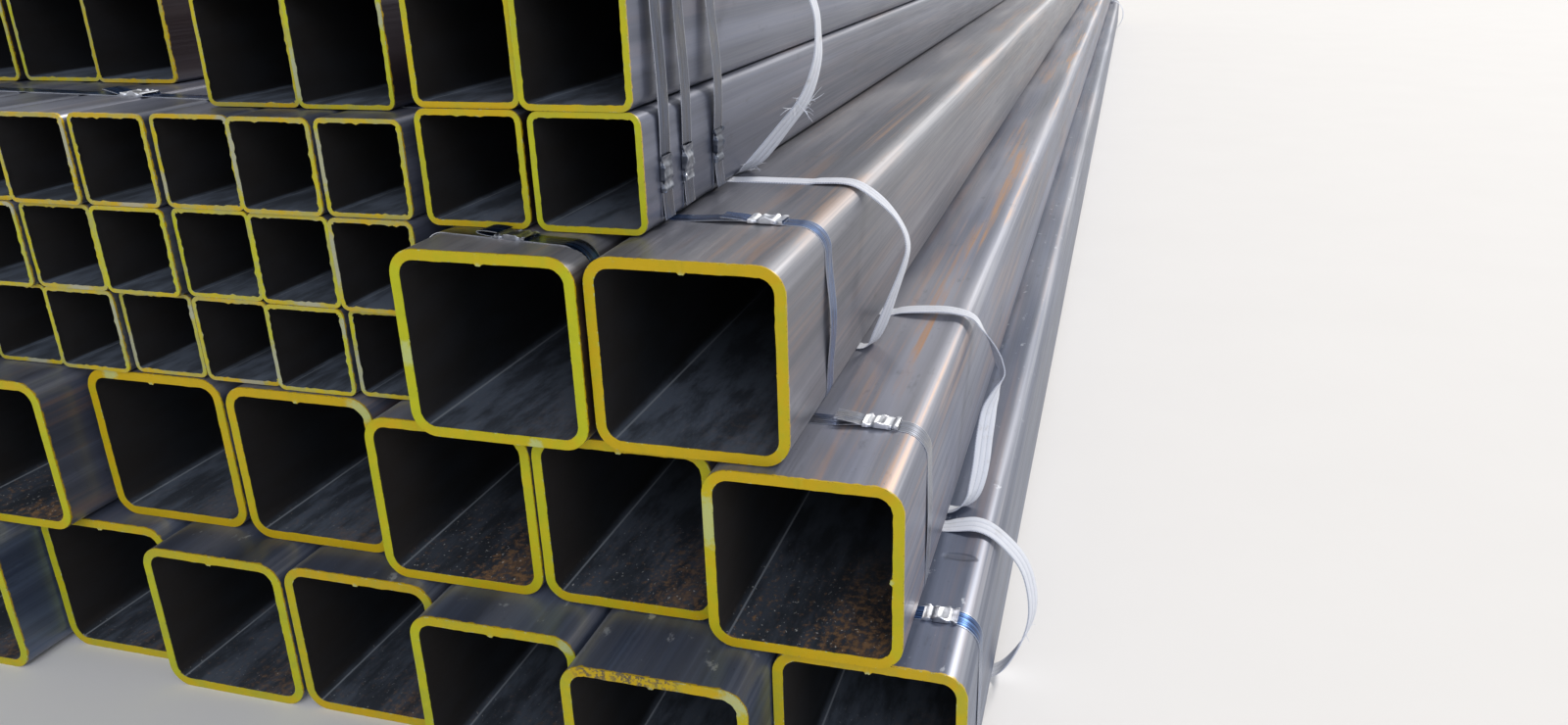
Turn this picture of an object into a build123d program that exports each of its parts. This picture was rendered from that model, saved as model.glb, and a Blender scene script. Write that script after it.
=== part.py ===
from build123d import *
from math import acos, atan2, cos, degrees, hypot, radians, sin
import os

# A yard stack of square steel tubes, 12 m stock, in strapped and slung bundles.
# Millimetres. X runs across the stack, Y along the tubes from their painted ends, Z up.
# While it is built, X = 0 is the bottom row's left side, Y = 0 is the painted end of
# the top row's outer tube, and Z = 0 is the ground. At the end the stack is moved so
# that its origin is the middle of the ground under it.

tube_length = 12000

# Large tubes, which make the three rows at the bottom, in the middle and on top
large_side = 250
large_wall = 14
large_corner = 35

# Weld bead left inside each large tube, half way along one wall
bead_width = 9
bead_height = 3
bead_slope = 50

# Small tubes of the bundle that stands beside the top row
small_side = 130
small_wall = 6
small_corner = 12

# Tubes of the two-by-two bundle on the top row
quad_side = 150
quad_wall = 8
quad_corner = 16

# Tubes of the pair on the small bundle
pair_side = 150
pair_wall = 6
pair_corner = 12

# Tubes of the wide row at the top left
wide_side = 160
wide_wall = 6
wide_corner = 12

# Steel strapping, its curled free end, and the crimped seal that closes it
strap_width = 32
strap_thickness = 0.9
tail_length = 62
tail_lift = 9
seal_length = 46
seal_thickness = 1.2
seal_notch = 4

# Flat webbing slings, and how far they hang off the side of their bundle
sling_width = 34
sling_thickness = 1.0
sling_slack = 48
quad_sling_slack = 120

# Clearances: a band from the tubes in it, a tube from the one below, a seal from its strap.
# A banded bundle stands off what it lies on by the room that its thickest band takes.
band_clearance = 0.1
stack_clearance = 0.2
seal_clearance = 0.1
band_room = sling_thickness + 2 * band_clearance

# Flats that stand for the round of a corner, on the light tubes outside and inside and
# on the bands. The large tubes have true arcs.
outer_flats = 2
inner_flats = 1

# Spaces between the neighbours in each row, and how far each front end stands back.
# The last two tubes of the bottom and middle rows are banded, and the rest lie loose.
# The first four of the bottom row and the first of the middle row are hidden.
bottom_gaps = [4, 4, 4, 4, 5, 2, 2]
bottom_setbacks = [46, -22, 58, 9, 13, -51, -103, -8]
middle_gaps = [6, 18, 20, 22, 6, 2]
middle_setbacks = [34, 21, 93, 79, 30, 26, -18]
banded_count = 2
top_gaps = [4]
top_setbacks = [-13, 0]
small_gaps = [3, 4, 3, 3, 5, 2, 4]
small_setbacks = [
    [92, 86, 95, 88, 97, 93, 84, 90],
    [84, 90, 80, 86, 82, 92, 86, 80],
    [88, 80, 86, 78, 84, 90, 82, 86],
]
quad_gaps = [[10], [3]]
quad_setbacks = [[95, 92], [99, 90]]
pair_gaps = [2]
pair_setbacks = [152, 146]
wide_gaps = [7, 7]
wide_setbacks = [372, 378, 366]

# Where each bundle lies across the stack
middle_from_bottom = 122
top_from_bottom = 1301
small_to_top = 23
quad_over_top = 8
pair_to_quad = 60
wide_to_pair = 253

# Where the bands go round, back from Y = 0, and the turn of the two that lie askew.
# The far end has bands as far in from it, less the longest setback.
far_margin = 60
bottom_strap_y = 116
bottom_sling_y = 354
middle_strap_y = 153
middle_sling_y = 600
middle_sling_drift = -196
top_strap_y = 192
top_sling_y = 430
lone_strap_y = 66
lone_strap_yaw = -9
small_strap_y = 245
small_strap_yaw = -6
quad_strap_ys = [158, 232, 350]
quad_sling_y = 481

# Where the seals sit, in from the right side of a bundle, or up from its bottom
bottom_seal_in = 53
middle_seal_in = 62
top_seal_in = 78
lone_seal_in = 112
small_front_seal_in = 560
small_back_seal_in = 473
quad_seal_up = 66


class Bundle:
    """Square tubes side by side, in one row or several, and the box that they fill."""

    def __init__(self, left, bottom, side, corner, setbacks, gaps):
        self.left = left
        self.bottom = bottom
        self.side = side
        self.corner = corner
        self.setbacks = setbacks
        self.gaps = gaps
        self.right = left + row_width(side, gaps[0])
        self.top = bottom + len(setbacks) * side + (len(setbacks) - 1) * stack_clearance

    def places(self, row):
        """Left side, bottom and front end of each tube of one row."""
        x = self.left
        z = self.bottom + row * (self.side + stack_clearance)
        found = []
        for setback, gap in zip(self.setbacks[row], self.gaps[row] + [0]):
            found.append((x, z, setback))
            x += self.side + gap
        return found


def row_width(side, gaps):
    """Width of a row of tubes with these spaces between them."""
    return (len(gaps) + 1) * side + sum(gaps)


def flat_cornered(width, height, radius, flats):
    """Points of a rectangle, anticlockwise, with a few flats outside the arc of each corner."""
    step = radians(90 / (flats + 1))
    reach = radius / cos(step / 2)
    points = []
    for quarter, (right, up) in enumerate([(1, 1), (-1, 1), (-1, -1), (1, -1)]):
        centre = (right * (width / 2 - radius), up * (height / 2 - radius))
        for number in range(flats + 1):
            turn = radians(90 * quarter) + step * (number + 0.5)
            points.append((centre[0] + reach * cos(turn), centre[1] + reach * sin(turn)))
    return points


def large_section(bead_turn):
    """Section of a large tube from its lower left corner. The bead's turn is from the top wall."""
    inner = large_side - 2 * large_wall
    section = RectangleRounded(large_side, large_side, large_corner)
    section -= RectangleRounded(inner, inner, large_corner - large_wall)
    bead = Trapezoid(bead_width, bead_height, bead_slope)
    section += Rot(0, 0, bead_turn) * Pos(0, (inner - bead_height) / 2) * Rot(0, 0, 180) * bead
    return Pos(large_side / 2, large_side / 2) * section


def light_section(side, wall, corner):
    """Section of a light tube from its lower left corner."""
    inner = side - 2 * wall
    outside = Polyline(*flat_cornered(side, side, corner, outer_flats), close=True)
    inside = Polyline(*flat_cornered(inner, inner, corner - wall, inner_flats), close=True)
    return Pos(side / 2, side / 2) * (make_face(outside) - make_face(inside))


def tube(section, x, z, setback):
    """A section carried back from its front end over the full stock length."""
    front = Plane(origin=(x, setback, z), x_dir=(1, 0, 0), z_dir=(0, -1, 0))
    return extrude(front * section, -tube_length)


def band_outline(bundle, offset, slack):
    """Outline of a band round a bundle, this far out from the tubes, slack on the right."""
    width = bundle.right - bundle.left + 2 * offset
    height = bundle.top - bundle.bottom + 2 * offset
    middle = Vector((bundle.left + bundle.right) / 2, (bundle.bottom + bundle.top) / 2)
    corners = flat_cornered(width, height, bundle.corner + offset, outer_flats)
    points = [middle + Vector(*corner) for corner in corners]
    if not slack:
        return make_face(Polyline(*points, close=True))
    # It leaves the top in an arc, and falls straight from the arc to the lower right corner
    leaves = Vector(bundle.right - bundle.corner, bundle.top + offset)
    radius = slack + bundle.corner + offset
    centre = leaves - Vector(0, radius)
    tucks_in = points[-1]
    fall = tucks_in - centre
    swing = atan2(fall.Y, fall.X) + acos(radius / hypot(fall.X, fall.Y))
    shoulder = CenterArc(centre, radius, 90, degrees(swing) - 90)
    upper_right = outer_flats + 1
    return make_face([
        shoulder,
        Line(shoulder @ 1, tucks_in),
        Polyline(*reversed(points[upper_right:]), leaves),
    ])


def band(bundle, y, width, thickness, slack=0, yaw=0, drift=0):
    """A flat band round a bundle. Yaw turns its plane, and drift moves its underside in Y."""
    outside = band_outline(bundle, band_clearance + thickness, slack)
    ring = outside - band_outline(bundle, band_clearance, slack)
    spare = slack + width
    across = bundle.right - bundle.left + 2 * spare
    height = bundle.top - bundle.bottom + 2 * spare
    reach = abs(drift) + across
    front = Plane(origin=(0, y - reach, 0), x_dir=(1, 0, 0), z_dir=(0, -1, 0))
    sleeve = extrude(front * ring, -2 * reach)
    skew = drift * height / (bundle.top - bundle.bottom) / 2
    half = width / 2
    edge_on = Polyline(
        (-half - skew, height / 2),
        (half - skew, height / 2),
        (half + skew, -height / 2),
        (-half + skew, -height / 2),
        close=True,
    )
    turned = Plane.XY.rotated((0, 0, yaw))
    middle = ((bundle.left + bundle.right) / 2, y + drift / 2, (bundle.bottom + bundle.top) / 2)
    slab = Plane(origin=middle, x_dir=turned.y_dir, z_dir=turned.x_dir) * make_face(edge_on)
    return sleeve & extrude(slab, across, both=True)


def strap_lap():
    """End of a strap cut off short, lying on the strap under the seal."""
    return Pos(0, 0, 1.5 * strap_thickness) * Box(seal_length, strap_width, strap_thickness)


def strap_tail():
    """End of a strap left long: it lies on the strap under the seal, then curls up beyond it."""
    grip = seal_length / 2
    rise = 2 * atan2(tail_lift, tail_length - grip)
    tip = Vector(tail_length, tail_lift)
    tip_top = tip + Vector(-sin(rise), cos(rise)) * strap_thickness
    side_view = make_face([
        TangentArc((grip, 0), tip, tangent=(1, 0)),
        Line(tip, tip_top),
        TangentArc((grip, strap_thickness), tip_top, tangent=(1, 0)),
        Polyline((grip, strap_thickness), (-grip, strap_thickness), (-grip, 0), (grip, 0)),
    ])
    return Pos(0, 0, strap_thickness) * extrude(Plane.XZ * side_view, strap_width / 2, both=True)


def seal():
    """Crimped clip over both layers of the strap, notched twice along each edge."""
    layers = 2 * strap_thickness + seal_clearance
    hollow = strap_width + 2 * seal_clearance
    outer_width = hollow + 2 * seal_thickness
    clip = Pos(0, 0, (layers + seal_thickness) / 2) * Box(seal_length, outer_width, layers + seal_thickness)
    clip -= Pos(0, 0, layers / 2) * Box(2 * seal_length, hollow, layers)
    for edge in (-1, 1):
        for share in (-0.22, 0.22):
            corners = [(-seal_notch / 2, 0), (seal_notch / 2, 0), (0, -edge * seal_notch / 2)]
            notch = extrude(make_face(Polyline(*corners, close=True)), 2 * layers + seal_thickness)
            clip -= Pos(share * seal_length, edge * outer_width / 2, 0) * notch
    return clip


def on_top(shape, bundle, seal_in, y, yaw):
    """Seats a seal or tail on the band that crosses a bundle's top."""
    from_middle = (bundle.right - bundle.left) / 2 - seal_in
    centre = Pos((bundle.left + bundle.right) / 2, y, bundle.top + band_clearance)
    return centre * Rot(0, 0, yaw) * Pos(from_middle, 0, 0) * shape


def on_right(shape, bundle, seal_up, y):
    """Seats a seal or tail on the band that runs down a bundle's right side."""
    return Pos(bundle.right + band_clearance, y, bundle.bottom + seal_up) * Rot(0, 90, 0) * shape


def strap_on_top(name, bundle, y, seal_in, yaw=0, end=strap_tail):
    """A strap and its seal, closed on the bundle's top."""
    pieces[name] = band(bundle, y, strap_width, strap_thickness, yaw=yaw)
    pieces[name] += on_top(Rot(0, 0, 180) * end(), bundle, seal_in, y, yaw)
    pieces[name + "_seal"] = on_top(seal(), bundle, seal_in, y, yaw)


def strap_on_right(name, bundle, y, seal_up):
    """A strap and its seal, closed on the bundle's right side."""
    pieces[name] = band(bundle, y, strap_width, strap_thickness)
    pieces[name] += on_right(strap_tail(), bundle, seal_up, y)
    pieces[name + "_seal"] = on_right(seal(), bundle, seal_up, y)


def sling(name, bundle, y, slack=sling_slack, drift=0):
    """A webbing sling round a bundle, slack down its right side."""
    pieces[name] = band(bundle, y, sling_width, sling_thickness, slack=slack, drift=drift)


def from_far_end(y):
    """The same distance in from the far ends as y is from the front ones."""
    return tube_length - far_margin - y


def large_row(left, loose_bottom, banded_bottom, setbacks, gaps):
    """A row of large tubes: the loose ones, then the banded ones at their own height."""
    loose = Bundle(
        left, loose_bottom, large_side, large_corner, [setbacks[:-banded_count]], [gaps[:-banded_count]]
    )
    banded_left = loose.right + gaps[-banded_count]
    banded_gaps = gaps[len(gaps) - banded_count + 1:]
    banded = Bundle(
        banded_left, banded_bottom, large_side, large_corner, [setbacks[-banded_count:]], [banded_gaps]
    )
    return loose, banded


# Where the bundles lie
bottom_loose, bottom = large_row(0, 0, band_room, bottom_setbacks, bottom_gaps)
middle_loose, middle = large_row(
    middle_from_bottom,
    bottom_loose.top + stack_clearance,
    bottom.top + band_room,
    middle_setbacks,
    middle_gaps,
)
top_bottom = middle.top + band_room
top = Bundle(top_from_bottom, top_bottom, large_side, large_corner, [top_setbacks], [top_gaps])
lone = Bundle(top.left, top_bottom, large_side, large_corner, [top_setbacks[:1]], [[]])
small = Bundle(
    top.left - small_to_top - row_width(small_side, small_gaps),
    middle_loose.top + band_room,
    small_side,
    small_corner,
    small_setbacks,
    [small_gaps] * len(small_setbacks),
)
quad = Bundle(
    top.left - quad_over_top, top.top + band_room, quad_side, quad_corner, quad_setbacks, quad_gaps
)
pair_left = quad.left - pair_to_quad - row_width(pair_side, pair_gaps)
pair = Bundle(pair_left, small.top + band_room, pair_side, pair_corner, [pair_setbacks], [pair_gaps])
wide_left = pair.left - wide_to_pair - row_width(wide_side, wide_gaps)
wide = Bundle(wide_left, small.top + band_room, wide_side, wide_corner, [wide_setbacks], [wide_gaps])

pieces = {}

# Large tubes, one sub-part each. The middle row's outer tube has its bead on the right.
bead_on_top = large_section(bead_turn=0)
bead_on_right = large_section(bead_turn=-90)
middle_count = len(middle_setbacks)
for row_name, row in (
    ("bottom", bottom_loose.places(0) + bottom.places(0)),
    ("middle", middle_loose.places(0) + middle.places(0)),
    ("top", top.places(0)),
):
    for number, place in enumerate(row, start=1):
        outermost = row_name == "middle" and number == middle_count
        section = bead_on_right if outermost else bead_on_top
        pieces[f"{row_name}_tube_{number}"] = tube(section, *place)

# Tubes of the lighter bundles, one sub-part for each row
for name, bundle, section in (
    ("small_tubes_row", small, light_section(small_side, small_wall, small_corner)),
    ("quad_tubes_row", quad, light_section(quad_side, quad_wall, quad_corner)),
    ("pair_tubes_row", pair, light_section(pair_side, pair_wall, pair_corner)),
    ("wide_tubes_row", wide, light_section(wide_side, wide_wall, wide_corner)),
):
    for row in range(len(bundle.setbacks)):
        tubes = [tube(section, *place) for place in bundle.places(row)]
        pieces[f"{name}_{row + 1}"] = Compound(tubes)

# Straps and slings near the front ends
strap_on_top("bottom_strap_front", bottom, bottom_strap_y, bottom_seal_in, end=strap_lap)
strap_on_top("middle_strap_front", middle, middle_strap_y, middle_seal_in)
strap_on_top("top_strap_front", top, top_strap_y, top_seal_in)
strap_on_top("top_tube_1_strap", lone, lone_strap_y, lone_seal_in, yaw=lone_strap_yaw)
strap_on_top("small_strap_front", small, small_strap_y, small_front_seal_in, yaw=small_strap_yaw)
for number, y in enumerate(quad_strap_ys, start=1):
    strap_on_right(f"quad_strap_front_{number}", quad, y, quad_seal_up)
sling("bottom_sling_front", bottom, bottom_sling_y)
sling("middle_sling_front", middle, middle_sling_y, drift=middle_sling_drift)
sling("top_sling_front", top, top_sling_y)
sling("quad_sling_front", quad, quad_sling_y, slack=quad_sling_slack)

# The same near the far ends
strap_on_top(
    "bottom_strap_back", bottom, from_far_end(bottom_strap_y), bottom_seal_in, end=strap_lap
)
strap_on_top("middle_strap_back", middle, from_far_end(middle_strap_y), middle_seal_in)
strap_on_top("top_strap_back", top, from_far_end(top_strap_y), top_seal_in)
strap_on_top(
    "small_strap_back", small, from_far_end(small_strap_y), small_back_seal_in, yaw=-small_strap_yaw
)
strap_on_right("quad_strap_back", quad, from_far_end(quad_strap_ys[-1]), quad_seal_up)
sling("bottom_sling_back", bottom, from_far_end(bottom_sling_y))
sling("middle_sling_back", middle, from_far_end(middle_sling_y), drift=-middle_sling_drift)
sling("top_sling_back", top, from_far_end(top_sling_y))
sling("quad_sling_back", quad, from_far_end(quad_sling_y), slack=quad_sling_slack)

# The origin goes to the middle of the ground under the whole stack
boxes = [piece.bounding_box() for piece in pieces.values()]
low = [min(values) for values in zip(*(tuple(box.min) for box in boxes))]
high = [max(values) for values in zip(*(tuple(box.max) for box in boxes))]
to_origin = Pos(-(low[0] + high[0]) / 2, -(low[1] + high[1]) / 2, -low[2])

os.makedirs("parts", exist_ok=True)
for name, piece in pieces.items():
    export_step(to_origin * piece, f"parts/{name}.step")
print("pieces:", len(pieces), "moved by", to_origin.position)
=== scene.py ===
from math import radians
import bpy
import numpy as np
from mathutils import Euler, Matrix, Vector


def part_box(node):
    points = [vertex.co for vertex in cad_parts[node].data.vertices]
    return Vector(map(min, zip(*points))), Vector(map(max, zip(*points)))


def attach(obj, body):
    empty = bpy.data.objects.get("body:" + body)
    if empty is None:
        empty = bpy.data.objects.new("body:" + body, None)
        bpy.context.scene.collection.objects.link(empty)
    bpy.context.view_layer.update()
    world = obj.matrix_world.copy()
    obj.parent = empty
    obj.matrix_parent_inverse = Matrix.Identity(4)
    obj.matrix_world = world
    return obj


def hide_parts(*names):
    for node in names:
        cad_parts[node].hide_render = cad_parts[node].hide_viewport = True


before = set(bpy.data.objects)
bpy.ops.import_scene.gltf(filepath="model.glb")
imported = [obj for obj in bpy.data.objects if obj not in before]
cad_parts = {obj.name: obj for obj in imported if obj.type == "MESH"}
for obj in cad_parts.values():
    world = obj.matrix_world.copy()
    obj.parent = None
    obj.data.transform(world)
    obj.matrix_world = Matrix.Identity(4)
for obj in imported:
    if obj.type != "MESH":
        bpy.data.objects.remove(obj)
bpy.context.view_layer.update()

# A yard stack of square steel tubes in strapped and slung bundles.
# Lengths in the dictionaries are millimetres, and mm turns them into the frame's metres.
mm = 0.001
randomDraws = np.random.default_rng(17)


# Camera, at the place and angle from which the stack was seen

viewpoint = {
    "fromTopTube": (595.6, -1159.2, 605.7),  # from the lower front left corner of the outer top tube
    "turn": (68.808, 1.518, 16.222),
    "lens": 26.03,
    "sensor": 36.0,
    "clip": (0.05, 100),
}


def placeCamera():
    camera = bpy.data.cameras.new("yardCamera")
    camera.lens = viewpoint["lens"]
    camera.sensor_width = viewpoint["sensor"]
    camera.clip_start, camera.clip_end = viewpoint["clip"]
    holder = bpy.data.objects.new("yardCamera", camera)
    holder.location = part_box("top_tube_2")[0] + Vector(viewpoint["fromTopTube"]) * mm
    holder.rotation_euler = Euler([radians(angle) for angle in viewpoint["turn"]], "XYZ")
    bpy.context.scene.collection.objects.link(holder)
    bpy.context.scene.camera = holder


# Light: a soft sun from behind on the right, a soft fill from the front, white surroundings

lightSet = {
    "key": {"strength": 2.6, "spread": 9, "tilt": (52, 0, 150), "colour": "#FFF8EE"},
    "fill": {"strength": 1.7, "spread": 50, "tilt": (60, 0, 22), "colour": "#F4F6FF"},
    "ambient": 0.34,
}


# sRGB hex to the linear colour that shaders take
def linear(hexColour):
    channels = np.array([int(hexColour[start:start + 2], 16) / 255 for start in (1, 3, 5)])
    low = channels / 12.92
    high = ((channels + 0.055) / 1.055) ** 2.4
    return (*(float(value) for value in np.where(channels <= 0.04045, low, high)), 1.0)


# Adds one node with its properties and its inputs, by name or in order: each input is a plain value,
# a hex colour or another node's output. Stops are a ramp's places and colours.
def addNode(tree, kind, settings=None, inputs=None, out=0, stops=()):
    node = tree.nodes.new("ShaderNode" + kind)
    for name, value in (settings or {}).items():
        setattr(node, name, value)
    given = inputs or {}
    for name, value in given.items() if isinstance(given, dict) else enumerate(given):
        if isinstance(value, bpy.types.NodeSocket):
            tree.links.new(value, node.inputs[name])
        else:
            node.inputs[name].default_value = linear(value) if isinstance(value, str) else value
    for index, (place, colour) in enumerate(stops):
        ramp = node.color_ramp.elements
        stop = ramp[index] if index < 2 else ramp.new(place)
        stop.position = place
        stop.color = linear(colour)
    return node.outputs[out] if node.outputs else None


smooth = {"interpolation_type": "SMOOTHSTEP"}
add = {"operation": "ADD"}
addToFull = {"operation": "ADD", "use_clamp": True}
subtract = {"operation": "SUBTRACT"}
multiply = {"operation": "MULTIPLY"}
multiplyShares = {"operation": "MULTIPLY", "use_clamp": True}
scaleAndAdd = {"operation": "MULTIPLY_ADD"}
scaleAndAddToFull = {"operation": "MULTIPLY_ADD", "use_clamp": True}
magnitude = {"operation": "ABSOLUTE"}
larger = {"operation": "MAXIMUM"}
colours = {"data_type": "RGBA"}


def lightStage():
    for name in ("key", "fill"):
        settings = lightSet[name]
        lamp = bpy.data.lights.new(name + "Light", "SUN")
        lamp.energy = settings["strength"]
        lamp.angle = radians(settings["spread"])
        lamp.color = linear(settings["colour"])[:3]
        holder = bpy.data.objects.new(name + "Light", lamp)
        holder.rotation_euler = [radians(angle) for angle in settings["tilt"]]
        bpy.context.scene.collection.objects.link(holder)
    world = bpy.data.worlds.new("paleSurroundings")
    world.use_nodes = True
    tree = world.node_tree
    tree.nodes.clear()
    rays = tree.nodes.new("ShaderNodeLightPath").outputs
    seen = addNode(tree, "Math", add, (rays["Is Camera Ray"], rays["Is Glossy Ray"]))
    seen = addNode(tree, "Math", addToFull, (seen, rays["Is Transmission Ray"]))
    level = addNode(tree, "MapRange", {}, {"Value": seen, "To Min": lightSet["ambient"]})
    glow = addNode(tree, "Background", {}, {"Color": "#FFFFFF", "Strength": level})
    addNode(tree, "OutputWorld", {}, {"Surface": glow})
    bpy.context.scene.world = world
    bpy.context.scene.view_settings.view_transform = "Standard"


# Materials

patternShift = np.array((3.1, 1.7, 2.3))  # in grains, so that no two patterns of a material line up


# A new material and what it can read. A pattern is noise whose grain has a real size in millimetres
# along X, Y and Z, with its detail and roughness. A number comes from the mesh. A share follows either:
# it goes smoothly from 0 to 1, or between its last two limits, while that goes between its first two.
def newMaterial(name, looks):
    material = bpy.data.materials.new(name)
    material.use_nodes = True
    tree = material.node_tree
    tree.nodes.clear()
    place = addNode(tree, "TexCoord", out="Object")
    read = {}
    for index, (pattern, (sizes, detail, roughness)) in enumerate(looks["patterns"].items()):
        space = addNode(tree, "Mapping", {}, {
            "Vector": place,
            "Scale": [1 / (grain * mm) for grain in sizes],
            "Location": patternShift * index,
        })
        read[pattern] = addNode(tree, "TexNoise", {}, {
            "Vector": space, "Scale": 1.0, "Detail": detail, "Roughness": roughness,
        })
    for number in looks.get("numbers", ()):
        read[number] = addNode(tree, "Attribute", {"attribute_name": number}, out="Fac")
    for share, (source, *limits) in looks.get("shares", {}).items():
        read[share] = addNode(tree, "MapRange", smooth, (read[source], *limits))
    return material, tree, read


# Lays colours over the first one in turn. Each is given with its shares and covers what lies below
# it by their product.
def layColours(tree, colour, layers):
    for over, share, *others in layers:
        for other in others:
            share = addNode(tree, "Math", multiplyShares, (share, other))
        colour = addNode(tree, "Mix", colours, {0: share, 6: colour, 7: over}, 2)
    return colour


# How far each face looks along X, Y and Z
def facing(tree):
    normal = addNode(tree, "NewGeometry", out="Normal")
    return addNode(tree, "SeparateXYZ", {}, {"Vector": normal}).node.outputs


# The end of a material: its shader, over the relief that gives each height a depth in millimetres
# and a strength
def endMaterial(tree, read, relief, inputs):
    for height, (depth, strength) in relief.items():
        if height in read:
            bump = {"Height": read[height], "Distance": depth * mm, "Strength": strength}
            if "Normal" in inputs:
                bump["Normal"] = inputs["Normal"]
            inputs = {**inputs, "Normal": addNode(tree, "Bump", {}, bump)}
    surface = addNode(tree, "BsdfPrincipled", {}, inputs)
    addNode(tree, "OutputMaterial", {}, {"Surface": surface})


steelLooks = {
    # dark, middling and light scale of each row as rain has left it, partly painted light and shade: the
    # bottom row and the light bundles are darker and bluer, as in shade
    "bottom": ("#2A3448", "#43506A", "#677895"),
    "middle": ("#353B4C", "#545C72", "#8088A0"),
    "top": ("#393D48", "#5B5E6A", "#8A8B94"),
    "light": ("#2D3342", "#484E60", "#6E7487"),
    "stops": (0.36, 0.53, 0.70),
    "blend": {"clouds": 0.38, "streaks": 0.22, "brushed": 0.10},  # in turn over the bands
    "toneReach": 0.06,
    "topFacing": (0.35, 0.95),
    # dust on tops, partly painted light: tops paler as if lit from above, less on the rows that lay in
    # shade
    "dust": "#A19E9C",
    "dustAndLightShare": {"bottom": 0.7, "middle": 1.0, "top": 0.9, "light": 0.35},
    "paleOnSides": 0.3,
    "tan": "#A47B56",
    "tanOnSides": 0.35,
    "oil": "#1D2028",
    # dark brown of the gap to the next tube: rust and painted shade
    "gapRustAndShade": "#2E1A08",
    # rubbed corners, partly a painted highlight on the round corners
    "rubbedAndHighlit": "#B9BCC4",
    "rubbedAndHighlitShare": {"bottom": 0.5, "middle": 0.5, "top": 0.5, "light": 0.2},
    "smear": "#B6BCC6",
    "metal": (0.5, 0.05),  # clean and dusty
    "dustyGloss": 0.66,
    "oversprayReach": 3.0,
    "overspraySpread": 9.0,
    "oversprayEdge": (-1.0, 1.5),
    "pressMark": {  # a shallow ellipse: its middle, from the last tube's right top front, and its rim
        "place": (-50, 278, 0), "halfSize": (29, 12, 10),
        # dark: painted shade in the mark's hollow, darkest over its middle
        "rim": (0.55, 1.0), "dark": (0.7, 1.0, 0.25, 0.0),
    },
    "patterns": {
        "bands": ((55, 3200, 55), 2, 0.5),
        "clouds": ((130, 900, 130), 3, 0.5),
        "streaks": ((11, 1500, 11), 3, 0.55),
        "brushed": ((2.5, 260, 2.5), 2, 0.55),
        "stains": ((38, 700, 38), 4, 0.6),
        "oily": ((26, 70, 26), 4, 0.6),
        "spots": ((6, 9, 6), 2, 0.6),
        "scuffs": ((90, 3.0, 90), 3, 0.6),
        "spray": ((9, 9, 9), 3, 0.55),
        "smears": ((26, 44, 26), 5, 0.65),
    },
    "numbers": ("tone", "rub", "fromEnd", "sideX", "stained", "gapRustAndShade"),
    "shares": {
        "paleDrifts": ("clouds", 0.38, 0.66, 0.12, 0.36),
        "rustPatches": ("stains", 0.47, 0.62),
        "rustLines": ("streaks", 0.42, 0.58),
        "rainSide": ("sideX", -0.2, 0.7, 0.15, 0.95),
        "oilPatches": ("oily", 0.60, 0.76, 0.0, 0.35),
        "oilSpots": ("spots", 0.70, 0.76, 0.0, 0.3),
        "gapSide": ("sideX", 0.90, 0.99, 0.0, 0.9),
        "rubAndHighlightLines": ("streaks", 0.40, 0.62, 0.3, 1.0),
        "smearPatches": ("smears", 0.63, 0.70, 0.0, 0.6),
        "gloss": ("brushed", 0.32, 0.68, 0.31, 0.41),
    },
    "relief": {
        "bands": (1.6, 0.35), "clouds": (1.5, 0.25), "scuffs": (0.10, 0.25), "brushed": (0.06, 0.3),
        "press": (1.6, 1.0),
    },
}
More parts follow.
